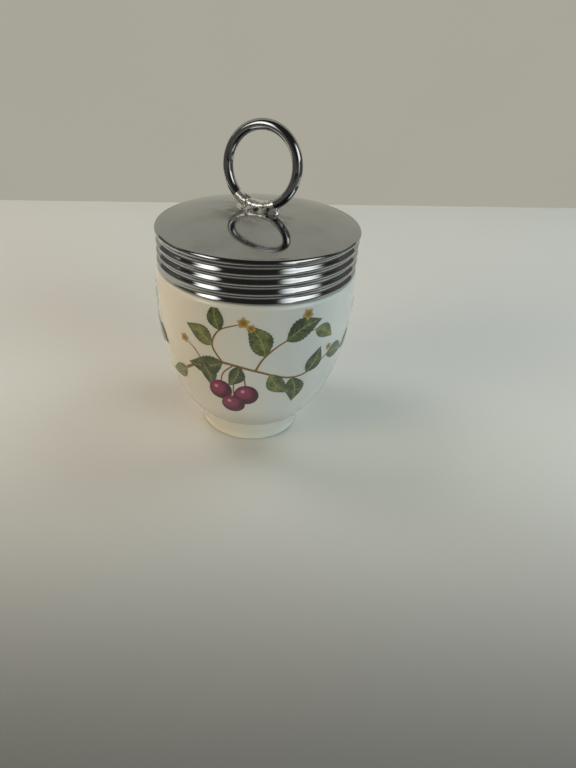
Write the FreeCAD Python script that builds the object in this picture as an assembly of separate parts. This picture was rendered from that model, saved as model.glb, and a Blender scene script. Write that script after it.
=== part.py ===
"""Porcelain egg coddler: a footed cup closed by a screw-on metal cap with a finger ring.

Millimetres, +Z up. The origin is the centre of the circle that the foot stands on.
The finger ring's wire lies across +X, and the ring's open face looks along -Y.
"""
import FreeCAD
import Part
import math
import os

from FreeCAD import Vector

# Driving dimensions of the cap
CAP_WALL = 0.45
CAP_RIM_R = 28.9
SKIRT_R = 28.65
SKIRT_BOTTOM_Z = 54.25
RIM_CORNER_R = 1.1
CROWN_EDGE_R = CAP_RIM_R - RIM_CORNER_R
CROWN_EDGE_Z = 65.95
CROWN_RADIUS = 114.0
RIM_FOOT_Z = 64.1

# Driving dimensions of the rolled thread, right-handed
PITCH = 2.61
FRONT_GROOVE_Z = 57.15
FIRST_GROOVE_AZIMUTH = -129.0
GROOVE_TURNS = 3.4
GROOVE_DEPTH = 0.5
GROOVE_HALF_MOUTH = 0.55
GROOVE_HALF_FLOOR = 0.2
GROOVE_REACH = 0.4
RIDGE_HALF_BASE = 0.75
RIDGE_HALF_TIP = 0.3
RIDGE_ROOT = 0.2
TIP_SCALE = 0.96

# Driving dimensions of the cup
BELLY_R = 29.15
BELLY_TOP_Z = 52.6
BELLY_STRAIGHT_Z = 46.5
BELLY_JOINS = [(28.0, 31.1), (23.6, 15.7), (15.75, 5.6)]
SHOULDER_CORNER_R = 1.3
SHOULDER_Z = 53.9
NECK_R = 27.2
NECK_BORE_R = 24.4
NECK_BORE_Z = 55.0
BOWL_FLARE_END = (25.6, 46.0)
BOWL_JOINS = [(23.6, 25.5), (12.2, 9.9)]
CUP_RIM_Z = 64.2
CUP_RIM_CORNER_R = 1.1
FLOOR_Z = 8.2
FOOT_R = 15.3
FOOT_WAIST_R = 15.05
FOOT_WAIST_Z = 3.9
FOOT_FLARE_R = 15.25
FOOT_FLARE_Z = 4.9
FOOT_INNER_R = 12.4
FOOT_CORNER_R = 0.7
RECESS_EDGE_Z = 3.6
RECESS_CENTRE_Z = 4.6

# Driving dimensions of the thread moulded on the neck
NECK_THREAD_RISE = 0.75
NECK_THREAD_ROOT = 0.3
NECK_THREAD_DROP = 1.02
NECK_THREAD_TURNS = 2.3
NECK_THREAD_START_Z = 56.3

# Driving dimensions of the seal
SEAL_INNER_R = 24.7
SEAL_OUTER_R = 27.25
SEAL_THICKNESS = 1.15

# Driving dimensions of the finger ring and its solder
RING_R = 10.35
WIRE_R = 1.45
WIRE_FLATS = 20
RING_CENTRE_Z = 80.6
RING_LEAN = 6.0
SEAM_AZIMUTH = -17.5
SEAM_GAP = 0.3
SOLDER_LENGTH = 12.0
SOLDER_WIDTH = 4.8
SOLDER_TOP_WIDTH = 2.3
SOLDER_RISE = 1.5
SOLDER_TOE = 0.1
SOLDER_FLANK = 0.35
SOLDER_DEPTH = 1.0

# Clearances
FIT_GAP = 0.02
SEAL_GAP = 0.05

OUT = "parts"


def arc(start, middle, end):
    """The circular edge through three (r, z) points of a half section."""
    points = [Vector(r, 0, z) for r, z in (start, middle, end)]
    return Part.Arc(*points).toShape()


def line(start, end):
    """The straight edge between two (r, z) points of a half section."""
    return Part.makeLine(Vector(start[0], 0, start[1]), Vector(end[0], 0, end[1]))


def path(points):
    """The straight edges that join (r, z) points in their order."""
    return [line(start, end) for start, end in zip(points, points[1:])]


def eased(centre, radius, start_angle, end_angle, flats):
    """A corner eased by short flats, by angles in degrees from +r towards +z."""
    points = []
    for step in range(flats + 1):
        turn = math.radians(start_angle + (end_angle - start_angle) * step / flats)
        points.append((centre[0] + radius * math.cos(turn), centre[1] + radius * math.sin(turn)))
    return points


def tangent_arcs(start, heading, joins):
    """Arcs from a start through the joins, each tangent to the one before, and the last heading.

    A heading is in degrees, from straight down towards the axis.
    """
    edges = []
    for end in joins:
        across = start[0] - end[0]
        down = start[1] - end[1]
        chord = math.hypot(across, down)
        slope = math.degrees(math.atan2(across, down))
        bow = chord / 2 * math.tan(math.radians((slope - heading) / 2))
        middle_r = (start[0] + end[0]) / 2 + bow * down / chord
        middle_z = (start[1] + end[1]) / 2 - bow * across / chord
        edges.append(arc(start, (middle_r, middle_z), end))
        heading = 2 * slope - heading
        start = end
    return edges, heading


def turned(edges):
    """The solid that a closed half section makes when it is turned about the Z axis."""
    wire = Part.Wire(Part.__sortEdges__(edges))
    return Part.Face(wire).revolve(Vector(0, 0, 0), Vector(0, 0, 1), 360)


def groove_z(azimuth):
    """Height of the lowest turn of the cap's groove at an azimuth in degrees."""
    return FRONT_GROOVE_Z + PITCH * azimuth / 360


def crown_z(radius, drop=0.0):
    """Height of the crown's dome at a radius, or of a surface at an even depth below it."""
    centre_z = CROWN_EDGE_Z - math.sqrt(CROWN_RADIUS ** 2 - CROWN_EDGE_R ** 2)
    return centre_z + math.sqrt((CROWN_RADIUS - drop) ** 2 - radius ** 2)


def wound(section, turns):
    """A bar of a closed (r, z) section, wound right-handed up the axis from azimuth 0."""
    corners = [Vector(r, 0, z) for r, z in section]
    outline = Part.makePolygon(corners + [corners[0]])
    mean_r = sum(r for r, z in section) / len(section)
    helix = Part.Wire(Part.makeLongHelix(PITCH, PITCH * turns, mean_r))
    return helix.makePipeShell([outline], True, True)


def tips(section, turns):
    """The rounded tips that close a wound ridge of a symmetrical section at its two ends."""
    mean_r = sum(r for r, z in section) / len(section)
    upper = [(mean_r + (r - mean_r) * TIP_SCALE, max(z, 0) * TIP_SCALE) for r, z in section]
    half = Part.makePolygon([Vector(r, 0, z) for r, z in upper + [upper[0]]])
    near = Part.Face(half).revolve(Vector(0, 0, 0), Vector(1, 0, 0), 360)
    far = near.copy()
    far.rotate(Vector(0, 0, 0), Vector(0, 0, 1), 360 * turns)
    far.translate(Vector(0, 0, PITCH * turns))
    return [near, far]


def seated(shapes, azimuth, start_z):
    """Shapes made from azimuth 0 and height 0, turned and lifted to where the thread starts."""
    for shape in shapes:
        shape.rotate(Vector(0, 0, 0), Vector(0, 0, 1), azimuth)
        shape.translate(Vector(0, 0, start_z))
    return shapes


def porcelain_cup():
    """The footed cup: belly, shoulder, threaded neck, rim, bowl and the recess under its foot."""
    foot_out = (FOOT_R - FOOT_CORNER_R, FOOT_CORNER_R)
    foot_in = (FOOT_INNER_R + FOOT_CORNER_R, FOOT_CORNER_R)
    shoulder = (BELLY_R - SHOULDER_CORNER_R, BELLY_TOP_Z)
    rim_z = CUP_RIM_Z - CUP_RIM_CORNER_R
    belly = tangent_arcs((BELLY_R, BELLY_STRAIGHT_Z), 0, BELLY_JOINS)[0]
    flare = math.degrees(math.atan2(NECK_BORE_R - BOWL_FLARE_END[0], NECK_BORE_Z - BOWL_FLARE_END[1]))
    bowl, heading = tangent_arcs(BOWL_FLARE_END, flare, BOWL_JOINS)
    last_drop = BOWL_JOINS[-1][1] - FLOOR_Z
    floor_r = BOWL_JOINS[-1][0] - last_drop * math.tan(math.radians((heading + 90) / 2))
    bowl += tangent_arcs(BOWL_JOINS[-1], heading, [(floor_r, FLOOR_Z)])[0]
    outside = path(
        eased(foot_in, FOOT_CORNER_R, 180, 270, 1)
        + eased(foot_out, FOOT_CORNER_R, -90, 0, 3)
        + [(FOOT_WAIST_R, FOOT_WAIST_Z), (FOOT_FLARE_R, FOOT_FLARE_Z), BELLY_JOINS[-1]]
    )
    top = path(
        [(BELLY_R, BELLY_STRAIGHT_Z)]
        + eased(shoulder, SHOULDER_CORNER_R, 0, 90, 4)
        + [(NECK_R, SHOULDER_Z)]
        + eased((NECK_R - CUP_RIM_CORNER_R, rim_z), CUP_RIM_CORNER_R, 0, 90, 2)
        + eased((NECK_BORE_R + CUP_RIM_CORNER_R, rim_z), CUP_RIM_CORNER_R, 90, 180, 2)
        + [(NECK_BORE_R, NECK_BORE_Z), BOWL_FLARE_END]
    )
    recess = path(
        [(floor_r, FLOOR_Z), (0, FLOOR_Z), (0, RECESS_CENTRE_Z)]
        + [(FOOT_INNER_R, RECESS_EDGE_Z), (FOOT_INNER_R, FOOT_CORNER_R)]
    )
    edges = outside + belly + top + bowl + recess
    tip_r = NECK_R + NECK_THREAD_RISE
    section = [
        (NECK_R - NECK_THREAD_ROOT, -RIDGE_HALF_BASE),
        (tip_r, -RIDGE_HALF_TIP),
        (tip_r, RIDGE_HALF_TIP),
        (NECK_R - NECK_THREAD_ROOT, RIDGE_HALF_BASE),
    ]
    start_azimuth = 360 * (NECK_THREAD_START_Z - NECK_THREAD_DROP - groove_z(0)) / PITCH
    thread = [wound(section, NECK_THREAD_TURNS)] + tips(section, NECK_THREAD_TURNS)
    cup = turned(edges)
    for shape in seated(thread, start_azimuth, NECK_THREAD_START_Z):
        cup = cup.fuse(shape)
    return cup


def cap_shell():
    """The drawn cap: domed crown, round rim and a skirt rolled in to a coarse thread."""
    skirt_inner = SKIRT_R - CAP_WALL
    rim_centre = (CROWN_EDGE_R, CROWN_EDGE_Z - RIM_CORNER_R)
    crown_middle = CROWN_EDGE_R / 2
    inner_edge = (CROWN_EDGE_R - CAP_WALL / 4, crown_z(CROWN_EDGE_R - CAP_WALL / 4, CAP_WALL))
    corner_end = (skirt_inner, inner_edge[1] - CAP_WALL - (skirt_inner - inner_edge[0]))
    side = path(
        eased(rim_centre, RIM_CORNER_R, 90, 0, 4)
        + [(SKIRT_R, RIM_FOOT_Z), (SKIRT_R, SKIRT_BOTTOM_Z), (skirt_inner, SKIRT_BOTTOM_Z), corner_end, inner_edge]
    )
    edges = side + [
        arc((0, crown_z(0)), (crown_middle, crown_z(crown_middle)), (CROWN_EDGE_R, CROWN_EDGE_Z)),
        arc(inner_edge, (crown_middle, crown_z(crown_middle, CAP_WALL)), (0, crown_z(0, CAP_WALL))),
        line((0, crown_z(0, CAP_WALL)), (0, crown_z(0))),
    ]
    start_z = groove_z(FIRST_GROOVE_AZIMUTH)
    ridge = [
        (skirt_inner + RIDGE_ROOT, -RIDGE_HALF_BASE),
        (skirt_inner - GROOVE_DEPTH, -RIDGE_HALF_TIP),
        (skirt_inner - GROOVE_DEPTH, RIDGE_HALF_TIP),
        (skirt_inner + RIDGE_ROOT, RIDGE_HALF_BASE),
    ]
    groove = [
        (SKIRT_R + GROOVE_REACH, -GROOVE_HALF_MOUTH),
        (SKIRT_R - GROOVE_DEPTH, -GROOVE_HALF_FLOOR),
        (SKIRT_R - GROOVE_DEPTH, GROOVE_HALF_FLOOR),
        (SKIRT_R + GROOVE_REACH, GROOVE_HALF_MOUTH),
    ]
    shell = turned(edges)
    rolled_in = [wound(ridge, GROOVE_TURNS)] + tips(ridge, GROOVE_TURNS)
    for shape in seated(rolled_in, FIRST_GROOVE_AZIMUTH, start_z):
        shell = shell.fuse(shape)
    return shell.cut(seated([wound(groove, GROOVE_TURNS)], FIRST_GROOVE_AZIMUTH, start_z)[0])


def sealing_washer():
    """The flat ring that the crown presses on the cup's rim."""
    middle = Vector(0, 0, CUP_RIM_Z + SEAL_GAP)
    disc = Part.makeCylinder(SEAL_OUTER_R, SEAL_THICKNESS, middle)
    return disc.cut(Part.makeCylinder(SEAL_INNER_R, SEAL_THICKNESS, middle))


def crown_block():
    """Everything under the crown's outer face, to seat the ring and its solder on the dome."""
    below = Part.makeSphere(CROWN_RADIUS + FIT_GAP)
    below.translate(Vector(0, 0, crown_z(0) - CROWN_RADIUS))
    return below


def ring_wire(radius):
    """The ring's wire of a given radius, upright in the XZ plane, about the ring's centre.

    Its round section is drawn with narrow flats, which stray from the circle evenly in and out.
    """
    reach = 2 * radius / (1 + math.cos(math.pi / WIRE_FLATS))
    points = []
    for step in range(WIRE_FLATS + 1):
        turn = 2 * math.pi * (step % WIRE_FLATS + 0.5) / WIRE_FLATS
        points.append(Vector(RING_R + reach * math.cos(turn), reach * math.sin(turn), 0))
    section = Part.Face(Part.makePolygon(points))
    return section.revolve(Vector(0, 0, 0), Vector(0, 1, 0), 360)


def placed(shape):
    """A shape made about the ring's centre, leant back as soldered and lifted into place."""
    foot = Vector(0, 0, -RING_R)
    shape = shape.copy()
    shape.rotate(foot, Vector(1, 0, 0), -RING_LEAN)
    shape.translate(Vector(0, 0, RING_CENTRE_Z))
    return shape


def finger_ring():
    """The lifting ring: wire bent to a circle, its two ends meeting low on the left."""
    seam = Part.makeBox(SEAM_GAP, 4 * WIRE_R, 4 * WIRE_R, Vector(-SEAM_GAP / 2, -2 * WIRE_R, -RING_R - 2 * WIRE_R))
    seam.rotate(Vector(0, 0, 0), Vector(0, 1, 0), -SEAM_AZIMUTH)
    return placed(ring_wire(WIRE_R).cut(seam)).cut(crown_block())


def ring_solder():
    """The saddle of solder that the ring's lowest stretch sits in."""
    top = crown_z(0)
    base_z = crown_z(SOLDER_LENGTH / 2) - SOLDER_DEPTH
    half_base = SOLDER_WIDTH / 2
    half_top = SOLDER_TOP_WIDTH / 2
    toe = Vector(0, half_base, top - SOLDER_TOE)
    flank = Vector(0, half_top + SOLDER_FLANK, top + SOLDER_FLANK)
    head = Vector(0, half_top, top + SOLDER_RISE)
    base = Vector(0, half_base, base_z)
    right = [Part.Arc(head, flank, toe).toShape(), Part.makeLine(toe, base)]
    left = [edge.mirror(Vector(0, 0, 0), Vector(0, 1, 0)) for edge in right]
    across = [Part.makeLine(Vector(0, -point.y, point.z), point) for point in (head, base)]
    bar = Part.Face(Part.Wire(Part.__sortEdges__(right + left + across))).extrude(Vector(SOLDER_LENGTH, 0, 0))
    bar.translate(Vector(-SOLDER_LENGTH / 2, 0, 0))
    plan = Part.Ellipse(Vector(0, 0, base_z), SOLDER_LENGTH / 2, half_base).toShape()
    column = Part.Face(Part.Wire(plan)).extrude(Vector(0, 0, top + SOLDER_RISE - base_z))
    saddle = bar.common(column)
    return saddle.cut([crown_block(), placed(ring_wire(WIRE_R + FIT_GAP))])


PIECES = {
    "porcelain_cup": porcelain_cup,
    "sealing_washer": sealing_washer,
    "cap_shell": cap_shell,
    "finger_ring": finger_ring,
    "ring_solder": ring_solder,
}

os.makedirs(OUT, exist_ok=True)
for name, make in PIECES.items():
    piece = make()
    print(name, "valid", piece.isValid(), "solids", len(piece.Solids), "volume", round(piece.Volume, 1))
    piece.exportStep(OUT + "/" + name + ".step")
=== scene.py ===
"""The finish of a porcelain egg coddler: glazed and printed cup, plated screw cap, ring and solder.

Lengths are worked out in millimetres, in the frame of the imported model, and turned to metres in the meshes.
"""
import math

import bpy
from mathutils import Matrix, Vector, noise


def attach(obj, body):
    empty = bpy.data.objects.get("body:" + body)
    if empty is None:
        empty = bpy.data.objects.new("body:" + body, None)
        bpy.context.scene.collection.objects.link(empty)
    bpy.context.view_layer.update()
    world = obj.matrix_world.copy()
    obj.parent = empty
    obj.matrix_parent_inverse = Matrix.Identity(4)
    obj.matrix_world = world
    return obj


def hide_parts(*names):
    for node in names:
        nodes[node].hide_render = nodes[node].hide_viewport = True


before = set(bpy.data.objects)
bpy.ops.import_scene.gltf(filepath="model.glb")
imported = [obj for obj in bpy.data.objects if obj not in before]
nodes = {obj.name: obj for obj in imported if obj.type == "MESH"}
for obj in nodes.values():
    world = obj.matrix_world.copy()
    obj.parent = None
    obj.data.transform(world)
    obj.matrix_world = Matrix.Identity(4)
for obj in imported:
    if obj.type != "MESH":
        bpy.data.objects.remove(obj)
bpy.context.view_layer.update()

MM = 0.001
ROUND = 288

# Cap sizes
CAP_WALL = 0.45
CAP_RIM_R = 28.9
CROWN_EDGE_R = 27.8
CROWN_EDGE_Z = 65.95
CROWN_RADIUS = 114.0
CROWN_UNDER_R = 27.5
CROWN_STEPS = 56
UNDER_STEPS = 30
RIM_CORNER = 1.1
RIM_TANGENT = 84
RIM_FOOT = (28.68, 64.3)
SKIRT_R = 28.65
SKIRT_TOP = 63.9
SKIRT_BOTTOM = 54.25
SKIRT_LIP = 0.2
CAP_INSIDE_TOP = 64.6
CAP_BEND = (27.6, 64.85)
CAP_BEND_R = 0.6

# The groove rolled into the skirt: its lowest line, where it starts, and how it comes in and fades
PITCH = 2.61
VALLEY_Z = 56.13
VALLEY_DEPTH = 0.62
VALLEY_START = -134.5
VALLEY_TURNS = 3.6
VALLEY_SHARPNESS = 0.9
RUN_IN = 65.0
RUN_IN_DROP = 1.3
FADE_IN = 30
FADE_OUT = 60
ROLL_TOP = 65.3
ROLL_EASE = 0.7
ROLL_MIN_R = 27.9

# Cup sizes, from the foot up and then down the inside
FOOT_R = 15.8
FOOT_CORNER = 0.7
FOOT_SIDE = [(16.0, 2.6), (17.1, 5.2), (18.5, 7.9)]
CREASE = [(18.5, 7.9), (18.6, 8.15), (18.45, 8.4)]
BELLY = [(18.95, 8.75), (19.75, 9.6), (23.6, 15.7), (26.4, 23.4), (28.0, 31.1), (28.85, 38.8), (29.15, 46.5)]
BELLY_R = 29.15
BELLY_TOP = 52.6
SHOULDER_CORNER = 1.3
SHOULDER_Z = 53.9
NECK_R = 27.2
NECK_ROOT = 0.3
CUP_RIM_Z = 64.2
CUP_RIM_CORNER = 1.1
MOUTH_R = 24.4
MOUTH_FOOT_Z = 55.0
BOWL = [
    (24.4, 55.0), (24.9, 49.5), (25.9, 42.0), (25.2, 34.0), (23.6, 25.5),
    (19.6, 16.0), (12.2, 9.9), (5.5, 8.4), (0.0, 8.2),
]
RECESS = [(0.0, 4.6), (6.5, 4.4), (12.0, 3.75), (12.4, 3.2)]

# The thread moulded on the neck
NECK_RISE = 0.75
NECK_THREAD_LOW = 56.3
NECK_THREAD_HIGH = 62.3
NECK_THREAD_ABOVE = 1.15
NECK_THREAD_HALF = 0.8
NECK_THREAD_END = 0.5
NECK_THREAD_MARGIN = 1.2
NECK_THREAD_SHARPNESS = 0.8

# Ring and solder sizes; angles go round the ring from its foot
RING_R = 10.35
WIRE_R = 1.45
WIRE_SWELL = 0.035
WIRE_SIDES = 40
RING_Z = 80.6
RING_LEAN = 6.0
RING_STEPS = 240
SEAM = -17.5
SEAM_GAP = 0.12
SEAM_TUCK = (0.12, 0.04, 0.0)
COAT = 0.34
COAT_UNDER = 0.06
COAT_NICK = 0.24
COAT_START = -41.0
COAT_END = 29.0
COAT_STEPS = 90
COAT_LUMP = 0.10
COAT_GRAIN = 0.9
NICK_WIDTH = 1.5
MOUND_REACH = 6.7
MOUND_HALF = 2.75
MOUND_HEIGHT = 1.35
MOUND_CLIMB = 0.6
MOUND_ROWS = 96
MOUND_COLUMNS = 56
MOUND_SHARPNESS = 2.4
MOUND_RIDGE = 0.55
MOUND_FLANK = 1.1
MOUND_WAVER = 0.12
MOUND_WAVES = 1.7
MOUND_LUMP = 0.17
MOUND_SUNK = 0.02

# The print on the cup
PRINT_LOWEST = 5.0
INK_LIFT = 0.03
INK_STEP = 0.002
LEAF_STEPS = 44
LEAF_COLUMNS = 10
LEAF_TEETH = 11
TOOTH = 0.17
LEAF_LEAN = 0.76
LEAF_POINT = 1.12
LEAF_TIP = 0.01
FRUIT_RINGS = 8
FRUIT_SIDES = 36
FRUIT_SQUASH = 1.12
STEM_COLUMNS = 4
PETALS = 5
PETAL_SHARE = 0.62

# Where the photographer stood: the camera's place, turn and lens, in the photograph's own frame
FRONT_TURN = 27.0
EYE_DISTANCE = 155.26
EYE_HEIGHT = 116.63
EYE_YAW = -1.333
EYE_PITCH = 34.273
EYE_ROLL = 1.611
LENS = 26.257
LENS_SHIFT = 0.0622
SENSOR_WIDTH = 36.0
NEAREST = 0.005

# The room, in metres and degrees, in the photograph's own frame
ROOM_HALF = 1.4
ROOM_FRONT = -1.2
ROOM_HEIGHT = 1.2
WALL_AWAY = 0.2416
WALL_TURN = 0.0703
SIDE_AWAY = 0.26
SIDE_HEIGHT = 0.16
SIDE_FRONT = -0.30
SIDE_BACK = 0.19
DARK_RADIUS = 1.6
DARK_RINGS = 12
DARK_SIDES = 24
DARK_FROM = -190
DARK_SWEEP = 200
LAMP_AIM = 0.05
# Lamps and windows: name, azimuth, elevation, distance, width, height, colour and radiance
LAMPS = [
    ("lamp_left", -150, 20, 0.62, 0.24, 0.40, (1.0, 0.79, 0.48), 5.2),
    ("lamp_right", -41, 20, 0.62, 0.30, 0.40, (0.72, 0.92, 1.0), 4.1),
    ("lamp_back_left", 150, 50, 0.60, 0.34, 0.34, (1.0, 0.93, 0.94), 4.6),
    ("lamp_back_right", 28, 50, 0.60, 0.34, 0.34, (0.82, 0.96, 1.0), 3.6),
]
WINDOWS = [
    ("window_left", -149, 24, 0.62, 0.35, 0.80, (1.0, 0.98, 0.94), 2.4),
    ("window_right", -37, 24, 0.62, 0.60, 0.80, (0.97, 1.0, 0.99), 1.9),
]
SKY = (0.03, 0.03, 0.03)
FLOOR_COLOUR = (0.80, 0.787, 0.742)
WALL_COLOUR = (0.39, 0.377, 0.315)

# The floor's painted shade, darker towards the photographer, and a little painted light towards the back:
# places along the photographer's line and shares of the colour
FLOOR_PAINTED_SHADE = (-0.135, -0.015, 0.18, 0.89)
FLOOR_PAINTED_LIGHT = (0.05, 0.22, 0.0, 0.07)

# Plating
PLATE_TINT = (0.965, 0.99, 1.0)
CAP_SHINE = 0.53
RING_SHINE = 0.50
DULL_SHARE = 0.82


def smooth_line(points, steps):
    """Points of a soft curve through the given (r, z) points."""
    line = []
    last = len(points) - 1
    for i in range(last):
        p0 = points[max(i - 1, 0)]
        p1 = points[i]
        p2 = points[i + 1]
        p3 = points[min(i + 2, last)]
        for step in range(steps):
            t = step / steps
            place = []
            for a, b, c, d in zip(p0, p1, p2, p3):
                bend = (2 * a - 5 * b + 4 * c - d) * t * t + (3 * b - a - 3 * c + d) * t ** 3
                place.append(0.5 * (2 * b + (c - a) * t + bend))
            line.append(tuple(place))
    line.append(points[-1])
    return line


def corner_line(centre, radius, start, end, steps=8):
    """Points of a round corner of a half section, by angles in degrees from +r towards +z."""
    line = []
    for step in range(steps + 1):
        turn = math.radians(start + (end - start) * step / steps)
        line.append((centre[0] + radius * math.cos(turn), centre[1] + radius * math.sin(turn)))
    return line


def even_line(start, end, step):
    """Points of a straight run, about a step apart."""
    count = max(1, round(math.dist(start, end) / step))
    return [tuple(a + (b - a) * i / count for a, b in zip(start, end)) for i in range(count + 1)]


def join(*runs):
    """One line from several, without the points that they share."""
    line = []
    for run in runs:
        for point in run:
            if not line or math.dist(point, line[-1]) > 1e-4:
                line.append(point)
    return line


def new_object(name, points, faces):
    """A smooth-shaded mesh object from millimetre points."""
    mesh = bpy.data.meshes.new(name)
    mesh.from_pydata([Vector(p) * MM for p in points], [], faces)
    mesh.validate()
    for polygon in mesh.polygons:
        polygon.use_smooth = True
    thing = bpy.data.objects.new(name, mesh)
    bpy.context.scene.collection.objects.link(thing)
    return thing


def grid_faces(rows, wide, closed=False, first=0):
    """Quads between rows of points, each row so many points wide, closed round if asked."""
    faces = []
    for i in range(rows - 1):
        low = first + i * wide
        for j in range(wide if closed else wide - 1):
            k = (j + 1) % wide
            faces.append((low + j, low + k, low + wide + k, low + wide + j))
    return faces


def turned(name, profile, radius_at):
    """A surface turned about the Z axis; radius_at can push a point in or out at its azimuth."""
    points = []
    rings = []
    for r, z in profile:
        if r < 1e-6:
            rings.append([len(points)])
            points.append((0, 0, z))
            continue
        ring = []
        for i in range(ROUND):
            turn = 2 * math.pi * i / ROUND
            here = radius_at(turn, r, z)
            ring.append(len(points))
            points.append((here * math.cos(turn), here * math.sin(turn), z))
        rings.append(ring)
    faces = []
    for low, high in zip(rings, rings[1:]):
        for i in range(ROUND):
            j = (i + 1) % ROUND
            if len(low) == 1:
                faces.append((low[0], high[j], high[i]))
            elif len(high) == 1:
                faces.append((low[i], low[j], high[0]))
            else:
                faces.append((low[i], low[j], high[j], high[i]))
    return new_object(name, points, faces)


class Value:
    """A shader socket that Python sums work on."""

    def __init__(self, finish, socket):
        self.finish = finish
        self.socket = socket

    def sum(self, operation, *values):
        """A maths node of an operation on values."""
        return self.finish.add("ShaderNodeMath", {"operation": operation}, dict(enumerate(values)))

    def __add__(self, other):
        return self.sum("ADD", self, other)

    __radd__ = __add__

    def __sub__(self, other):
        return self.sum("SUBTRACT", self, other)

    def __rsub__(self, other):
        return self.sum("SUBTRACT", other, self)

    def __mul__(self, other):
        return self.sum("MULTIPLY", self, other)

    __rmul__ = __mul__

    def absolute(self):
        return self.sum("ABSOLUTE", self)

    def sine(self):
        return self.sum("SINE", self)

    def clamped(self):
        """The value kept between 0 and 1."""
        node = self.sum("ADD", self, 0.0)
        node.socket.node.use_clamp = True
        return node


class Finish:
    """A procedural material: one Principled surface and the nodes that feed it."""

    def __init__(self, name, constants=None):
        self.material = bpy.data.materials.new(name)
        self.material.use_nodes = True
        self.tree = self.material.node_tree
        self.surface = self.tree.nodes["Principled BSDF"]
        for socket, value in (constants or {}).items():
            self.set(socket, value)

    def add(self, kind, settings=None, inputs=None, output=0):
        """A node of a kind, with its settings made first and then its inputs set or linked."""
        node = self.tree.nodes.new(kind)
        for name, value in (settings or {}).items():
            setattr(node, name, value)
        for key, value in (inputs or {}).items():
            self.feed(node.inputs[key], value)
        return Value(self, node.outputs[output])

    def feed(self, socket, value):
        """Links a value to a socket, or sets the socket to a constant."""
        if isinstance(value, Value):
            self.tree.links.new(value.socket, socket)
        elif isinstance(value, tuple) and len(value) == 3 and socket.type == "RGBA":
            socket.default_value = (*value, 1)
        else:
            socket.default_value = value

    def set(self, name, value):
        """Feeds a socket of the surface."""
        self.feed(self.surface.inputs[name], value)

    def place(self):
        """The point's place on the piece, in metres."""
        return self.add("ShaderNodeTexCoord", output=3)

    def speckle(self, scale, detail, roughness=0.5, vector=None):
        """Soft noise from 0 to 1 at a scale in waves to the metre."""
        inputs = {"Vector": vector or self.place(), "Scale": scale, "Detail": detail, "Roughness": roughness}
        return self.add("ShaderNodeTexNoise", None, inputs)

    def axis(self, name, vector=None):
        """One coordinate of the place, in metres."""
        return self.add("ShaderNodeSeparateXYZ", None, {0: vector or self.place()}, "XYZ".index(name))

    def stretched(self, factors, turn):
        """The place, squeezed and turned so that noise on it runs in streaks."""
        inputs = {"Vector": self.place(), "Scale": factors, "Rotation": turn}
        return self.add("ShaderNodeMapping", None, inputs)

    def blend(self, factor, first, second):
        """A colour between two, by a factor."""
        return self.add("ShaderNodeMix", {"data_type": "RGBA"}, {0: factor, 6: first, 7: second}, 2)

    def between(self, value, low, high, to_low=0.0, to_high=1.0):
        """A value moved from one range to another and kept inside it."""
        inputs = {0: value, 1: low, 2: high, 3: to_low, 4: to_high}
        return self.add("ShaderNodeMapRange", {"interpolation_type": "SMOOTHSTEP"}, inputs)

    def squares(self, first, second):
        """The sum of two values' squares."""
        return first * first + second * second

    def relief(self, height, depth, strength):
        """Feeds a bump of a height in metres to the surface."""
        inputs = {"Height": height, "Distance": depth, "Strength": strength}
        self.set("Normal", self.add("ShaderNodeBump", None, inputs))

    def on(self, thing):
        """Gives the finish to an object."""
        thing.data.materials.clear()
        thing.data.materials.append(self.material)


GLAZE = {"IOR": 1.5, "Coat Weight": 0.35, "Coat Roughness": 0.06}


def porcelain_glaze():
    """Warm white bone porcelain under a clear glaze, bare and matt where the foot was wiped, with painted
    shade under the belly and painted light on the foot.
    """
    finish = Finish("porcelain_glaze", GLAZE)
    height = finish.axis("Z")
    cloud = finish.speckle(45.0, 2.0)
    body = finish.blend(cloud, (0.775, 0.75, 0.68), (0.81, 0.795, 0.735))
    # Painted shade: the underside of the belly is darkened, as shade falls there.
    under = finish.between(height, 0.0085, 0.019, 1.0, 0.0)
    body = finish.blend(under * 0.5, body, (0.42, 0.41, 0.36))
    # Painted light: the foot is made lighter, as if more light falls on it than on the belly above.
    low = finish.between(height, 0.0078, 0.0086, 1.0, 0.0)
    body = finish.blend(low * 0.8, body, (0.89, 0.86, 0.76))
    fleck = finish.between(finish.speckle(900.0, 1.0), 0.78, 0.84)
    body = finish.blend(fleck * 0.25, body, (0.55, 0.48, 0.36))
    bare = finish.between(height, 0.0001, 0.0007, 1.0, 0.0)
    finish.set("Base Color", finish.blend(bare * 0.6, body, (0.72, 0.66, 0.55)))
    finish.set("Roughness", finish.speckle(160.0, 2.0) * 0.06 + 0.10 + bare * 0.5)
    finish.relief(finish.speckle(220.0, 2.0), 0.00003, 0.25)
    return finish


def solder_stain(finish):
    """Where the crown is stained round the solder, from 0 to 1."""
    reach = finish.squares(finish.axis("X"), finish.axis("Y"))
    near = finish.between(reach, 0.00003, 0.00019, 1.0, 0.0)
    return near * finish.between(finish.speckle(140.0, 4.0, 0.6), 0.40, 0.60)


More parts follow.
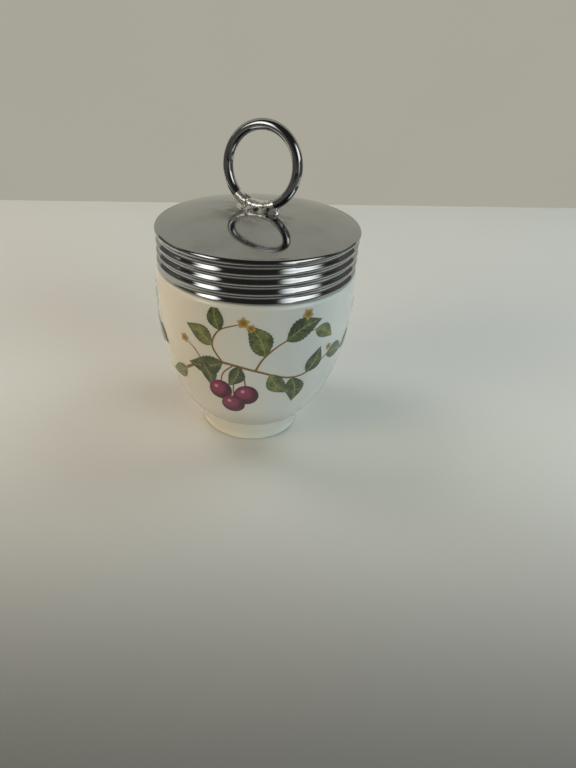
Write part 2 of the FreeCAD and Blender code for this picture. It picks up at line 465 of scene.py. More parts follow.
def plate(name, haze, wear, shine, stained=False):
    """Bright plating with fine scratches, dull patches and a breath of haze."""
    finish = Finish(name, {"Metallic": 1.0})
    patch = finish.speckle(70.0, 4.0, 0.55)
    streak = finish.speckle(60.0, 3.0, 0.6, finish.stretched((0.6, 14.0, 3.0), (0.0, 0.0, 0.6)))
    cross = finish.speckle(75.0, 3.0, 0.6, finish.stretched((16.0, 0.7, 3.0), (0.0, 0.0, -0.35)))
    scratches = finish.between(streak, 0.66, 0.74) + finish.between(cross, 0.68, 0.76)
    bright = tuple(shine * t for t in PLATE_TINT)
    dull = tuple(DULL_SHARE * t for t in bright)
    colour = finish.blend(finish.between(patch, 0.35, 0.75), bright, dull)
    rough = finish.between(patch, 0.4, 0.8, haze, haze * 2.0) + scratches * wear
    if stained:
        stain = solder_stain(finish)
        colour = finish.blend(stain * 0.8, colour, (0.20, 0.17, 0.125))
        rough = rough + stain * 0.18
    finish.set("Base Color", colour)
    finish.set("Roughness", rough)
    finish.relief(scratches * 0.4 + patch, 0.00001, 0.2)
    return finish


def solder_metal():
    """Plated-over solder: lumpy, half bright, with painted shade in its hollows."""
    finish = Finish("solder_metal", {"Metallic": 0.88})
    lump = finish.speckle(380.0, 2.0, 0.5)
    # Painted shade: the low spots of the lumps are darkened, as shade falls in them.
    dark = finish.between(lump, 0.30, 0.44, 1.0, 0.0)
    finish.set("Base Color", finish.blend(dark, (0.90, 0.89, 0.86), (0.15, 0.13, 0.10)))
    finish.set("Roughness", finish.speckle(500.0, 2.0) * 0.22 + 0.16)
    finish.relief(lump, 0.0002, 0.35)
    return finish


def seal_rubber():
    """Pale rubber with a faint bloom."""
    finish = Finish("seal_rubber")
    bloom = finish.speckle(300.0, 4.0)
    finish.set("Base Color", finish.blend(bloom, (0.62, 0.56, 0.46), (0.70, 0.65, 0.55)))
    finish.set("Roughness", bloom * 0.2 + 0.5)
    finish.relief(finish.speckle(2500.0, 2.0), 0.00005, 0.3)
    return finish


def cup_outline():
    """The cup's outer half section from the foot's flat up to the neck's rim."""
    ledge = BELLY_R - SHOULDER_CORNER
    root_r = NECK_R + NECK_ROOT
    root_z = SHOULDER_Z + NECK_ROOT
    rim_z = CUP_RIM_Z - CUP_RIM_CORNER
    foot = corner_line((FOOT_R - FOOT_CORNER, FOOT_CORNER), FOOT_CORNER, -90, 0)
    waist = smooth_line([(FOOT_R, FOOT_CORNER)] + FOOT_SIDE, 6)
    crease = smooth_line(CREASE + [BELLY[0]], 3)
    belly = smooth_line(BELLY + [(BELLY_R, BELLY_TOP)], 14)
    shoulder = corner_line((ledge, BELLY_TOP), SHOULDER_CORNER, 0, 90)
    step = even_line((ledge, SHOULDER_Z), (root_r, SHOULDER_Z), 0.3)
    root = corner_line((root_r, root_z), NECK_ROOT, 270, 180, 5)
    neck = even_line((NECK_R, root_z), (NECK_R, rim_z), 0.12)
    rim = corner_line((NECK_R - CUP_RIM_CORNER, rim_z), CUP_RIM_CORNER, 0, 90)
    return join(foot, waist, crease, belly, shoulder, step, root, neck, rim)


def within_ends(value, low, high, run):
    """1 inside a range, falling to 0 over a run at either end of it."""
    return min(1, max(0, (value - low) / run)) * min(1, max(0, (high - value) / run))


def neck_radius(turn, r, z):
    """Pushes the neck out where the moulded thread winds round it."""
    threaded = NECK_THREAD_LOW - NECK_THREAD_MARGIN < z < NECK_THREAD_HIGH + NECK_THREAD_MARGIN
    if abs(r - NECK_R) > 1e-3 or not threaded:
        return r
    crest = VALLEY_Z + PITCH * math.degrees(turn) / 360 + NECK_THREAD_ABOVE
    away = (z - crest + PITCH / 2) % PITCH - PITCH / 2
    if abs(away) > NECK_THREAD_HALF:
        return r
    ends = within_ends(z - away, NECK_THREAD_LOW, NECK_THREAD_HIGH, NECK_THREAD_END)
    section = math.cos(math.pi * away / (2 * NECK_THREAD_HALF)) ** NECK_THREAD_SHARPNESS
    return r + NECK_RISE * ends * section


def make_cup():
    """The cup as one closed skin, outside, rim, bowl and the hollow under the foot."""
    outside = cup_outline()
    rim_z = CUP_RIM_Z - CUP_RIM_CORNER
    rim_r = MOUTH_R + CUP_RIM_CORNER
    foot_inner_r, recess_z = RECESS[-1]
    rim_top = even_line((NECK_R - CUP_RIM_CORNER, CUP_RIM_Z), (rim_r, CUP_RIM_Z), 0.3)
    rim_in = corner_line((rim_r, rim_z), CUP_RIM_CORNER, 90, 180)
    bore = even_line((MOUTH_R, rim_z), (MOUTH_R, MOUTH_FOOT_Z), 0.8)
    bowl = smooth_line(BOWL, 8)
    recess = smooth_line(RECESS, 6)
    foot_wall = even_line((foot_inner_r, recess_z), (foot_inner_r, FOOT_CORNER), 0.5)
    foot_corner = corner_line((foot_inner_r + FOOT_CORNER, FOOT_CORNER), FOOT_CORNER, 180, 270)
    flat = even_line((foot_inner_r + FOOT_CORNER, 0.0), (FOOT_R - FOOT_CORNER, 0.0), 0.3)
    skin = join(recess, foot_wall, foot_corner, flat, outside, rim_top, rim_in, bore, bowl)
    cup = turned("cup", skin, neck_radius)
    porcelain_glaze().on(cup)
    return cup


def crown_z(r, drop=0.0):
    """Height of the crown's dome, or of a surface at an even depth below it."""
    centre = CROWN_EDGE_Z - math.sqrt(CROWN_RADIUS ** 2 - CROWN_EDGE_R ** 2)
    return centre + math.sqrt((CROWN_RADIUS - drop) ** 2 - r * r)


def rolled(turn, z):
    """How far the skirt is rolled in at an azimuth and a height."""
    azimuth = math.degrees(turn)
    depth = 0.0
    for lap in range(-1, 5):
        wound = azimuth + 360 * lap
        along = wound - VALLEY_START
        left = VALLEY_START + 360 * VALLEY_TURNS - wound
        if along < 0 or left < 0:
            continue
        valley = VALLEY_Z + PITCH * wound / 360
        if along < RUN_IN:
            valley -= RUN_IN_DROP * (1 - along / RUN_IN) ** 2
        away = abs(z - valley) / PITCH
        if away > 0.5:
            continue
        fade = min(1, along / FADE_IN, left / FADE_OUT)
        section = (0.5 + 0.5 * math.cos(2 * math.pi * away)) ** VALLEY_SHARPNESS
        depth = max(depth, VALLEY_DEPTH * fade * section)
    return depth


def cap_radius(turn, r, z):
    """Rolls the thread into the skirt, inside and out, and leaves the crown alone."""
    if z > ROLL_TOP or r < ROLL_MIN_R:
        return r
    ease = min(1, (ROLL_TOP - z) / ROLL_EASE)
    return r - ease * rolled(turn, z)


def make_cap():
    """The cap as one thin closed skin."""
    rim_z = CROWN_EDGE_Z - RIM_CORNER
    lip_z = SKIRT_BOTTOM + SKIRT_LIP
    inner_r = SKIRT_R - CAP_WALL
    outwards = [CROWN_EDGE_R * i / CROWN_STEPS for i in range(CROWN_STEPS + 1)]
    dome = [(r, crown_z(r)) for r in outwards]
    rim = corner_line((CROWN_EDGE_R, rim_z), RIM_CORNER, RIM_TANGENT, 0, 12)
    easing = smooth_line([(CAP_RIM_R, rim_z), RIM_FOOT, (SKIRT_R, SKIRT_TOP)], 6)
    skirt = even_line((SKIRT_R, SKIRT_TOP), (SKIRT_R, lip_z), 0.09)
    lip = corner_line((SKIRT_R - CAP_WALL / 2, lip_z), CAP_WALL / 2, 0, -180, 8)
    inner = even_line((inner_r, lip_z), (inner_r, CAP_INSIDE_TOP), 0.18)
    bend = corner_line(CAP_BEND, CAP_BEND_R, 0, RIM_TANGENT, 8)
    inwards = [CROWN_UNDER_R * (1 - i / UNDER_STEPS) for i in range(UNDER_STEPS + 1)]
    under = [(r, crown_z(r, CAP_WALL)) for r in inwards]
    cap = turned("cap", join(dome, rim, easing, skirt, lip, inner, bend, under), cap_radius)
    plate("cap_plate", 0.075, 0.06, CAP_SHINE, stained=True).on(cap)
    return cap


def ring_place(point):
    """A point given about the ring's centre, leant back and lifted into place."""
    lean = Matrix.Rotation(math.radians(-RING_LEAN), 3, "X")
    foot = Vector((0, 0, -RING_R))
    return lean @ (Vector(point) - foot) + foot + Vector((0, 0, RING_Z))


def ring_point(angle, around, wire):
    """A point on the wire: angle round the ring from its foot, and around the wire from outside."""
    turn = math.radians(angle)
    out = Vector((math.sin(turn), 0, -math.cos(turn)))
    side = Vector((0, -1, 0))
    return ring_place(out * (RING_R + wire * math.cos(around)) + side * (wire * math.sin(around)))


def wire_ring(angle, radius_at):
    """The points round the wire at an angle; radius_at gives the wire's radius at a turn round it."""
    turns = [2 * math.pi * j / WIRE_SIDES for j in range(WIRE_SIDES)]
    return [ring_point(angle, around, radius_at(around)) for around in turns]


def make_ring():
    """The bent wire, its two ends drawn close but not joined."""
    gap = math.degrees(SEAM_GAP / RING_R)
    points = []
    for i in range(RING_STEPS + 1):
        angle = SEAM + gap + (360 - 2 * gap) * i / RING_STEPS
        swell = WIRE_SWELL * -math.cos(math.radians(angle))
        near_end = min(i, RING_STEPS - i, len(SEAM_TUCK) - 1)
        wire = WIRE_R - WIRE_SWELL + swell - SEAM_TUCK[near_end]
        points += wire_ring(angle, lambda around: wire)
    faces = grid_faces(RING_STEPS + 1, WIRE_SIDES, closed=True)
    faces.append(tuple(reversed(range(WIRE_SIDES))))
    faces.append(tuple(RING_STEPS * WIRE_SIDES + j for j in range(WIRE_SIDES)))
    ring = new_object("ring", points, faces)
    plate("ring_plate", 0.06, 0.03, RING_SHINE).on(ring)
    return ring


def lumps(x, y, size, grain):
    """Uneven height of soldering, in millimetres."""
    broad = noise.noise(Vector((x, y, 3.1)) * grain)
    fine = noise.noise(Vector((x, y, 9.7)) * grain * 2.7)
    return size * (broad + 0.4 * fine)


def mound():
    """Points of the mound of solder on the crown, higher along the wire that it holds."""
    points = []
    for i in range(MOUND_ROWS + 1):
        t = -1 + 2 * i / MOUND_ROWS
        x = MOUND_REACH * t
        taper = math.sqrt(max(0.0, 1 - t * t))
        half = MOUND_HALF * taper + 0.05
        climb = RING_R - math.sqrt(RING_R ** 2 - x * x)
        for j in range(MOUND_COLUMNS + 1):
            s = -1 + 2 * j / MOUND_COLUMNS
            y = s * half + MOUND_WAVER * math.sin(x * MOUND_WAVES)
            ridge = 1.0
            if abs(s) * half > MOUND_FLANK:
                ridge = math.exp(-((abs(s) - MOUND_RIDGE) * half / MOUND_RIDGE) ** 2)
            section = (1 - abs(s) ** MOUND_SHARPNESS) * taper * (0.75 + 0.25 * ridge)
            rise = (MOUND_HEIGHT + MOUND_CLIMB * climb) * section
            bumps = lumps(x * 0.7, y, MOUND_LUMP, 1.0) * (1 - s * s)
            crown = crown_z(math.hypot(x, y)) - MOUND_SUNK
            points.append((x, y, crown + max(-0.03, rise + bumps)))
    return points


def wire_coat():
    """Points of the solder that ran up the wire, thin at both ends and nicked where the wire's ends meet."""
    points = []
    for i in range(COAT_STEPS + 1):
        t = i / COAT_STEPS
        angle = COAT_START + (COAT_END - COAT_START) * t
        swell = math.sin(math.pi * t) ** 0.9 if 0 < i < COAT_STEPS else 0.0
        nick = COAT_NICK * math.exp(-((angle - SEAM) / NICK_WIDTH) ** 2)

        def coated(around):
            spot = ring_point(angle, around, WIRE_R)
            thick = COAT + lumps(spot.x, spot.y + spot.z, COAT_LUMP, COAT_GRAIN)
            return WIRE_R + thick * swell - nick - COAT_UNDER

        points += wire_ring(angle, coated)
    return points


def make_solder():
    """The solder: a mound on the crown and a coat along the foot of the ring."""
    points = mound()
    faces = [(a, d, c, b) for a, b, c, d in grid_faces(MOUND_ROWS + 1, MOUND_COLUMNS + 1)]
    faces += grid_faces(COAT_STEPS + 1, WIRE_SIDES, closed=True, first=len(points))
    solder = new_object("solder", points + wire_coat(), faces)
    solder_metal().on(solder)
    return solder


class Belly:
    """Places on the cup's side, by azimuth in degrees and millimetres up the surface."""

    def __init__(self):
        self.line = [p for p in cup_outline() if PRINT_LOWEST < p[1] < BELLY_TOP + 0.1]
        self.reach = [0.0]
        for a, b in zip(self.line, self.line[1:]):
            self.reach.append(self.reach[-1] + math.dist(a, b))

    def at(self, up):
        """Radius, height and the outward normal at a distance up the side."""
        up = min(max(up, 0.0), self.reach[-1] - 1e-6)
        i = max(k for k, length in enumerate(self.reach) if length <= up)
        i = min(i, len(self.line) - 2)
        t = (up - self.reach[i]) / (self.reach[i + 1] - self.reach[i])
        a = Vector(self.line[i])
        b = Vector(self.line[i + 1])
        way = (b - a).normalized()
        spot = a.lerp(b, t)
        return spot.x, spot.y, way.y, -way.x

    def point(self, azimuth, across, up, lift):
        """A point of the print: across in millimetres to the right, up in millimetres."""
        r, z, out, rise = self.at(up)
        turn = math.radians(azimuth) + across / r
        reach = r + out * lift
        return (reach * math.cos(turn), reach * math.sin(turn), z + rise * lift)


BELLY_SIDE = Belly()


def transfer(name, rows, uvs, closed=False):
    """A thin printed patch from rows of points on the cup, with its own flat coordinates."""
    points = [p for row in rows for p in row]
    faces = grid_faces(len(rows), len(rows[0]), closed)
    patch = new_object(name, points, faces)
    layer = patch.data.uv_layers.new(name="flat")
    flat = [uv for row in uvs for uv in row]
    for loop in patch.data.loops:
        layer.data[loop.index].uv = flat[loop.vertex_index]
    return patch


def ink(name):
    """A printed colour under the glaze, with the patch's flat coordinates."""
    finish = Finish(name, {**GLAZE, "Roughness": 0.16})
    flat = finish.add("ShaderNodeUVMap", {"uv_map": "flat"})
    return finish, finish.axis("X", flat), finish.axis("Y", flat)


def leaf_ink(name, dark, light):
    """Olive leaf: pale veins, a lighter heart and a dark edge."""
    finish, along, across = ink(name)
    side = (across - 0.5).absolute() * 2.0
    vein = ((along - side * 0.22) * 44.0).sine()
    vein = finish.between(vein, 0.80, 1.0) * finish.between(side, 0.05, 0.8, 1.0, 0.0)
    middle = finish.between(side, 0.03, 0.12, 1.0, 0.0)
    shade = finish.between(finish.speckle(420.0, 3.0, 0.6), 0.35, 0.66)
    body = finish.blend(shade, dark, light)
    body = finish.blend((vein * 0.7 + middle * 0.7).clamped(), body, (0.36, 0.35, 0.15))
    edge = finish.between(side, 0.80, 0.97)
    finish.set("Base Color", finish.blend(edge * 0.75, body, (0.075, 0.10, 0.085)))
    return finish


def fruit_ink():
    """Plum skin: dark towards its edge, a rosy side and a small pale light."""
    finish, across, up = ink("fruit_ink")
    rosy = finish.squares(across - 0.38, up - 0.62)
    body = finish.blend(finish.between(rosy, 0.0, 0.22), (0.30, 0.035, 0.105), (0.075, 0.006, 0.022))
    bloom = finish.between(finish.speckle(900.0, 3.0), 0.5, 0.7)
    body = finish.blend(bloom * 0.25, body, (0.32, 0.08, 0.20))
    glint = finish.between(finish.squares(across - 0.34, up - 0.68), 0.002, 0.010, 1.0, 0.0)
    finish.set("Base Color", finish.blend(glint * 0.75, body, (0.72, 0.45, 0.52)))
    return finish


def stem_ink():
    """Golden brown stems, darker along their edges."""
    finish, _, across = ink("stem_ink")
    side = (across - 0.5).absolute() * 2.0
    body = finish.blend(finish.speckle(600.0, 2.0), (0.34, 0.20, 0.055), (0.20, 0.10, 0.03))
    edge = finish.between(side, 0.5, 1.0)
    finish.set("Base Color", finish.blend(edge * 0.6, body, (0.10, 0.05, 0.02)))
    return finish


def petal_ink():
    """Small golden blossom."""
    finish, along, _ = ink("petal_ink")
    body = finish.blend(finish.between(along, 0.1, 0.9), (0.30, 0.17, 0.04), (0.62, 0.44, 0.14))
    finish.set("Base Color", body)
    return finish


class Printer:
    """Lays one kind of printed motif after another on the belly."""

    def __init__(self):
        self.inks = {
            "leaf": leaf_ink("leaf_ink", (0.045, 0.065, 0.03), (0.13, 0.155, 0.055)),
            "young_leaf": leaf_ink("young_leaf_ink", (0.09, 0.115, 0.04), (0.25, 0.26, 0.085)),
            "fruit": fruit_ink(),
            "stem": stem_ink(),
            "petal": petal_ink(),
        }
        self.patches = {kind: [] for kind in self.inks}
        self.lift = INK_LIFT

    def keep(self, kind, patch):
        """Inks a patch and keeps it with its kind."""
        self.inks[kind].on(patch)
        self.patches[kind].append(patch)

    def leaf(self, azimuth, across, up, heading, length, width, bow, kind):
        """A pointed, toothed leaf that starts at a place and runs off at a heading."""
        rows = []
        uvs = []
        turn = math.radians(heading)
        self.lift += INK_STEP
        for i in range(LEAF_STEPS + 1):
            t = i / LEAF_STEPS
            bulge = math.sin(math.pi * t ** LEAF_LEAN) ** LEAF_POINT
            half = width / 2 * bulge if 0 < i < LEAF_STEPS else LEAF_TIP
            tooth = 1 + TOOTH * (1 - (t * LEAF_TEETH) % 1) if 0.06 < t < 0.94 else 1
            row = []
            line = []
            for j in range(LEAF_COLUMNS + 1):
                s = -1 + 2 * j / LEAF_COLUMNS
                a = t * length
                edge = tooth if j in (0, LEAF_COLUMNS) else 1
                b = s * half * edge + bow * length * math.sin(math.pi * t)
                x = across + a * math.cos(turn) - b * math.sin(turn)
                y = up + a * math.sin(turn) + b * math.cos(turn)
                row.append(BELLY_SIDE.point(azimuth, x, y, self.lift))
                line.append((t, j / LEAF_COLUMNS))
            rows.append(list(reversed(row)))
            uvs.append(list(reversed(line)))
        self.keep(kind, transfer("print_" + kind, rows, uvs))

    def fruit(self, azimuth, across, up, size, tilt):
        """A round stone fruit, inked darker towards one side."""
        rows = []
        uvs = []
        self.lift += INK_STEP
        for i in range(FRUIT_RINGS + 1):
            ring = i / FRUIT_RINGS
            row = []
            line = []
            for j in range(FRUIT_SIDES):
                turn = 2 * math.pi * j / FRUIT_SIDES
                x = ring * size / 2 * math.cos(turn)
                y = ring * size / 2 * FRUIT_SQUASH * math.sin(turn)
                lean = math.radians(tilt)
                dx = x * math.cos(lean) - y * math.sin(lean)
                dy = x * math.sin(lean) + y * math.cos(lean)
                row.append(BELLY_SIDE.point(azimuth, across + dx, up + dy, self.lift))
                line.append((0.5 + 0.5 * ring * math.cos(turn), 0.5 + 0.5 * ring * math.sin(turn)))
            rows.append(list(reversed(row)))
            uvs.append(list(reversed(line)))
        self.keep("fruit", transfer("print_fruit", rows, uvs, closed=True))

    def stem(self, azimuth, points, thick, thin):
        """A stem through points (across, up), tapering from its first to its last."""
        path = smooth_line(points, 8)
        rows = []
        uvs = []
        self.lift += INK_STEP / 2
        for i, (x, y) in enumerate(path):
            before = path[max(i - 1, 0)]
            after = path[min(i + 1, len(path) - 1)]
            way = Vector((after[0] - before[0], after[1] - before[1])).normalized()
            t = i / (len(path) - 1)
            half = (thick + (thin - thick) * t) / 2
            row = []
            line = []
            for j in range(STEM_COLUMNS + 1):
                s = 1 - 2 * j / STEM_COLUMNS
                row.append(BELLY_SIDE.point(azimuth, x - way.y * half * s, y + way.x * half * s, self.lift))
                line.append((t, j / STEM_COLUMNS))
            rows.append(row)
            uvs.append(line)
        self.keep("stem", transfer("print_stem", rows, uvs))

    def blossom(self, azimuth, across, up, size, turn):
        """Five small petals round a point."""
        for k in range(PETALS):
            heading = turn + 360 * k / PETALS
            self.leaf(azimuth, across, up, heading, size, size * PETAL_SHARE, 0.0, "petal")

    def gathered(self):
        """The patches of each ink joined to one piece."""
        pieces = []
        for kind, patches in self.patches.items():
            bpy.ops.object.select_all(action="DESELECT")
            for patch in patches:
                patch.select_set(True)
            bpy.context.view_layer.objects.active = patches[0]
            bpy.ops.object.join()
            patches[0].name = "printed_" + kind
            pieces.append(patches[0])
        return pieces


# A bough, in millimetres across and up from its middle: stems by points, first and last thickness
SPRIG_STEMS = [
    ([(-21, -3), (-15, 1.5), (-9, 3), (0, 1.2), (9, -1.8), (15, -1.5), (22, 2.5)], 1.0, 0.45),
    ([(-9, 3), (-12, 8), (-10, 13), (-4.5, 15.5)], 0.6, 0.3),
    ([(0, 1.2), (2.5, 6), (8, 10.5), (16.5, 12.5)], 0.65, 0.3),
    ([(8, 10.5), (9.5, 14), (13, 17)], 0.4, 0.25),
    ([(-6, 2.6), (-8.8, -0.5), (-9.4, -4)], 0.5, 0.35),
    ([(-4, 2.2), (-3, -1.5), (-2.4, -5)], 0.5, 0.35),
    ([(-4.6, 2.3), (-5.8, -4), (-5.6, -9.5)], 0.5, 0.35),
    ([(-15, 1.5), (-17.5, 5), (-20.5, 7)], 0.4, 0.25),
]
# Leaves by place, heading, length, width, bow and kind
SPRIG_LEAVES = [
    (-9, 3, 196, 11.5, 6.0, 0.10, "leaf"),
    (-12, 8, 152, 9.5, 4.8, -0.10, "young_leaf"),
    (-10, 13, 100, 8.0, 4.2, 0.08, "leaf"),
    (2.5, 6, 118, 11.0, 5.8, -0.10, "young_leaf"),
    (8, 10.5, 24, 11.5, 5.8, 0.10, "leaf"),
    (16.5, 12.5, -32, 8.0, 4.0, 0.08, "young_leaf"),
    (10.5, -2.0, -86, 10.5, 5.4, 0.10, "leaf"),
    (4, 0, -52, 10.0, 4.8, -0.10, "young_leaf"),
    (15, -1.5, 62, 9.0, 4.8, -0.08, "leaf"),
    (22, 2.5, -12, 9.0, 4.8, 0.10, "leaf"),
    (-21, -3, 212, 9.0, 4.6, 0.10, "young_leaf"),
    (-15, 1.5, -72, 8.5, 4.4, 0.10, "leaf"),
]
# Fruit by place, size and tilt; flowers by place, petal length and turn
SPRIG_FRUIT = [(-9.6, -7.2, 6.8, 8), (-2.2, -8.2, 7.0, -6), (-5.8, -12.6, 6.8, 2)]
SPRIG_LAST_LEAVES = [(-4.4, 2.4, -112, 8.0, 4.2, 0.10, "leaf")]
SPRIG_FLOWERS = [
    (-3.6, 16.0, 1.9, 20),
    (-1.6, 14.6, 1.4, 60),
    (13.6, 17.6, 1.9, 50),
    (-21.2, 7.4, 1.7, 5),
    (22.5, 5.0, 1.3, 30),
]
# The boughs round the belly by azimuth, height up the side, hand and size
BOUGHS = [(-61.0, 31.0, 1, 1.0), (59.0, 31.0, -1, 0.97), (179.0, 31.5, 1, 0.97)]


def sprig(printer, azimuth, middle, flip, size):
    """A bough of plums: an arching stem, hanging fruit, leaves on both sides and small blossoms."""

    def spot(x, y):
        return flip * x * size, middle + y * size

    def leaf(x, y, heading, length, width, bow, kind):
        way = heading if flip > 0 else 180 - heading
        printer.leaf(azimuth, *spot(x, y), way, length * size, width * size, bow * flip, kind)

    for points, thick, thin in SPRIG_STEMS:
        printer.stem(azimuth, [spot(*point) for point in points], thick, thin)
    for settings in SPRIG_LEAVES:
        leaf(*settings)
    for x, y, across, tilt in SPRIG_FRUIT:
        printer.fruit(azimuth, *spot(x, y), across * size, tilt * flip)
    for settings in SPRIG_LAST_LEAVES:
        leaf(*settings)
    for x, y, across, turn in SPRIG_FLOWERS:
        printer.blossom(azimuth, *spot(x, y), across * size, turn)


def print_cup():
    """Three boughs round the belly."""
    printer = Printer()
    for settings in BOUGHS:
        sprig(printer, *settings)
    return printer.gathered()


def from_photo(x, y, z):
    """A place given in the photograph's frame, right, away and up in metres, in the model's frame."""
    turn = Matrix.Rotation(math.radians(FRONT_TURN), 3, "Z")
    return turn @ Vector((x, y, z))


def staged(name, points, faces, finish):
    """A staged piece of the room from points in the photograph's frame."""
    mesh = bpy.data.meshes.new(name)
    mesh.from_pydata([from_photo(*point) for point in points], [], faces)
    thing = bpy.data.objects.new(name, mesh)
    bpy.context.scene.collection.objects.link(thing)
    finish.on(thing)
    return thing


def floor_finish():
    """Pale matt paper, with painted shade that darkens it towards the photographer and a little painted light
    towards the back.
    """
    finish = Finish("floor_finish", {"Roughness": 0.9, "Specular IOR Level": 0.2})
    turn = math.radians(FRONT_TURN)
    away = finish.axis("Y") * math.cos(turn) - finish.axis("X") * math.sin(turn)
    # Painted light and shade: the floor's colour falls off towards the photographer and rises a little
    # towards the back.
    painted_light_share = finish.between(away, *FLOOR_PAINTED_SHADE) + finish.between(away, *FLOOR_PAINTED_LIGHT)
    paper = finish.blend(finish.speckle(9.0, 2.0), FLOOR_COLOUR, tuple(0.96 * c for c in FLOOR_COLOUR))
    finish.set("Base Color", finish.blend(painted_light_share, (0.0, 0.0, 0.0), paper))
    return finish


def glowing(name, strength=1.0):
    """A finish that gives off light of its own and returns none."""
    constants = {
        "Base Color": (0.0, 0.0, 0.0),
        "Roughness": 1.0,
        "Specular IOR Level": 0.0,
        "Emission Strength": strength,
    }
    return Finish(name, constants)


def lamp_place(azimuth, elevation, distance):
    """A lamp's place in the photograph's frame, by its direction from the object."""
    turn = math.radians(azimuth)
    rise = math.radians(elevation)
    flat = math.cos(rise) * distance
    return Vector((flat * math.cos(turn), flat * math.sin(turn), math.sin(rise) * distance + LAMP_AIM))


def lamp(name, azimuth, elevation, distance, width, height, colour, radiance):
    """A soft rectangular lamp that faces the object."""
    data = bpy.data.lights.new(name, "AREA")
    data.shape = "RECTANGLE"
    data.size = width
    data.size_y = height
    data.color = colour
    data.energy = radiance * math.pi * width * height
    thing = bpy.data.objects.new(name, data)
    bpy.context.scene.collection.objects.link(thing)
    place = from_photo(*lamp_place(azimuth, elevation, distance))
    thing.location = place
    thing.rotation_euler = (place - Vector((0, 0, LAMP_AIM))).to_track_quat("Z", "Y").to_euler()
    thing.visible_glossy = False


def mirrored_only(thing):
    """Keeps a staged piece out of everything but reflections."""
    thing.visible_camera = False
    thing.visible_diffuse = False
    thing.visible_shadow = False
    thing.visible_transmission = False


def window(name, azimuth, elevation, distance, width, height, colour, glow):
    """A bright window whose edges fade, which only shows in the glaze and the plating."""
    centre = lamp_place(azimuth, elevation, distance)
    turn = math.radians(azimuth + 90)
    across = Vector((math.cos(turn), math.sin(turn), 0)) * (width / 2)
    up = Vector((0, 0, height / 2))
    corners = [centre - across - up, centre + across - up, centre + across + up, centre - across + up]
    finish = glowing(name + "_finish", glow)
    turn += math.radians(FRONT_TURN)
    along = finish.axis("X") * math.cos(turn) + finish.axis("Y") * math.sin(turn)
    climb = finish.axis("Z") - centre.z
    fade = finish.between(along * along, 0.0, (width / 2) ** 2, 1.0, 0.0)
    fade = fade * finish.between(climb * climb, 0.0, (height / 2) ** 2, 1.0, 0.0)
    finish.set("Emission Color", finish.blend(fade, (0.02, 0.02, 0.02), colour))
    mirrored_only(staged(name, corners, [(0, 1, 2, 3)], finish))


def dark_room():
    """The unlit half of the room in front of the object, which only shows in the bright plating."""
    points = []
    for i in range(DARK_RINGS + 1):
        rise = math.radians(90 * i / DARK_RINGS)
        flat = DARK_RADIUS * math.cos(rise)
        for j in range(DARK_SIDES + 1):
            turn = math.radians(DARK_FROM + DARK_SWEEP * j / DARK_SIDES)
            points.append((flat * math.cos(turn), flat * math.sin(turn), DARK_RADIUS * math.sin(rise)))
    finish = glowing("dark_room_finish")
    high = finish.between(finish.axis("Z"), 0.0, 0.5)
    finish.set("Emission Color", finish.blend(high, (0.10, 0.096, 0.09), (0.024, 0.022, 0.02)))
    mirrored_only(staged("dark_room", points, grid_faces(DARK_RINGS + 1, DARK_SIDES + 1), finish))
    for name, x in (("dark_side_left", -SIDE_AWAY), ("dark_side_right", SIDE_AWAY)):
        bottom = [(x, SIDE_FRONT, 0), (x, SIDE_BACK, 0)]
        top = [(x, SIDE_BACK, SIDE_HEIGHT), (x, SIDE_FRONT, SIDE_HEIGHT)]
        side = glowing(name + "_finish")
        shade = side.blend(side.speckle(12.0, 2.0), (0.05, 0.048, 0.044), (0.15, 0.145, 0.135))
        side.set("Emission Color", shade)
        mirrored_only(staged(name, bottom + top, [(0, 1, 2, 3)], side))


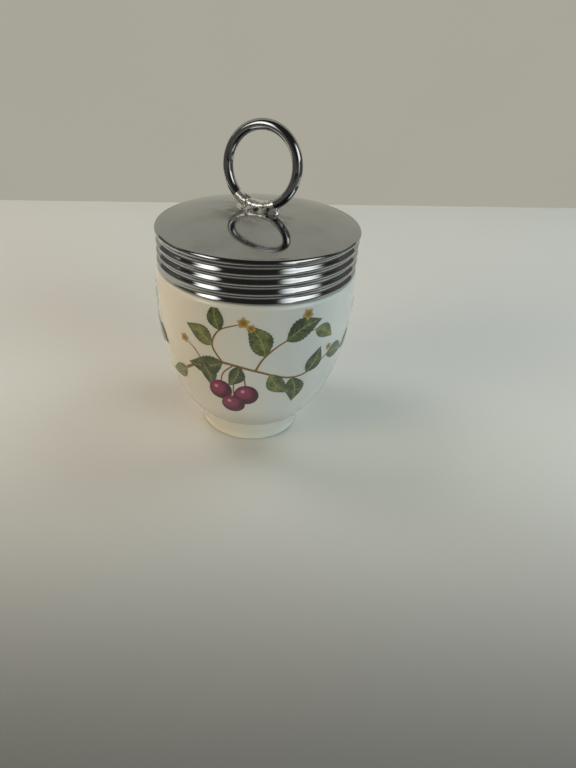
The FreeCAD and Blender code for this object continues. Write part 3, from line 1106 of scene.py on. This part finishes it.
def surroundings():
    """Pale floor with painted shade towards the photographer, a plain pale wall, four soft lamps, two windows
    for the reflections and a faint even sky.
    """
    left = WALL_AWAY - WALL_TURN * ROOM_HALF
    right = WALL_AWAY + WALL_TURN * ROOM_HALF
    wall_foot = [(-ROOM_HALF, left, 0), (ROOM_HALF, right, 0)]
    wall_top = [(ROOM_HALF, right, ROOM_HEIGHT), (-ROOM_HALF, left, ROOM_HEIGHT)]
    front = [(-ROOM_HALF, ROOM_FRONT, 0), (ROOM_HALF, ROOM_FRONT, 0)]
    staged("floor", front + wall_foot[::-1], [(0, 1, 2, 3)], floor_finish())
    wall = glowing("backdrop_finish")
    pale = tuple(1.04 * c for c in WALL_COLOUR)
    wall.set("Emission Color", wall.blend(wall.speckle(9.0, 2.0), WALL_COLOUR, pale))
    staged("backdrop", wall_foot + wall_top, [(0, 1, 2, 3)], wall)
    for settings in LAMPS:
        lamp(*settings)
    for settings in WINDOWS:
        window(*settings)
    world = bpy.data.worlds.new("sky")
    bpy.context.scene.world = world
    world.use_nodes = True
    world.node_tree.nodes["Background"].inputs[0].default_value = (*SKY, 1)
    world.node_tree.nodes["Background"].inputs[1].default_value = 1.0
    dark_room()


def photographer():
    """The camera at the photograph's place, worked out from the fitted turn, tilt and roll."""
    yaw = math.radians(EYE_YAW)
    pitch = math.radians(EYE_PITCH)
    roll = math.radians(EYE_ROLL)
    forward = Vector((math.sin(yaw) * math.cos(pitch), math.cos(yaw) * math.cos(pitch), -math.sin(pitch)))
    level = Vector((math.cos(yaw), -math.sin(yaw), 0))
    over = level.cross(forward)
    right = math.cos(roll) * level + math.sin(roll) * over
    up = -math.sin(roll) * level + math.cos(roll) * over
    pose = Matrix((right, up, -forward)).transposed().to_4x4()
    pose.translation = Vector((0, -EYE_DISTANCE, EYE_HEIGHT)) * MM
    turn = Matrix.Rotation(math.radians(FRONT_TURN), 4, "Z")
    data = bpy.data.cameras.new("camera")
    data.sensor_fit = "AUTO"
    data.sensor_width = SENSOR_WIDTH
    data.lens = LENS
    data.shift_x = LENS_SHIFT
    data.clip_start = NEAREST
    camera = bpy.data.objects.new("camera", data)
    bpy.context.scene.collection.objects.link(camera)
    camera.matrix_world = turn @ pose
    bpy.context.scene.camera = camera


cup = make_cup()
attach(cup, "cup")
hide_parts("porcelain_cup")
for piece in print_cup():
    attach(piece, "cup")

cap = make_cap()
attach(cap, "cap")
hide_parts("cap_shell")

ring = make_ring()
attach(ring, "cap")
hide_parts("finger_ring")

solder = make_solder()
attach(solder, "cap")
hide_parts("ring_solder")

seal_rubber().on(nodes["sealing_washer"])

surroundings()
photographer()
bpy.context.scene.view_settings.view_transform = "Standard"
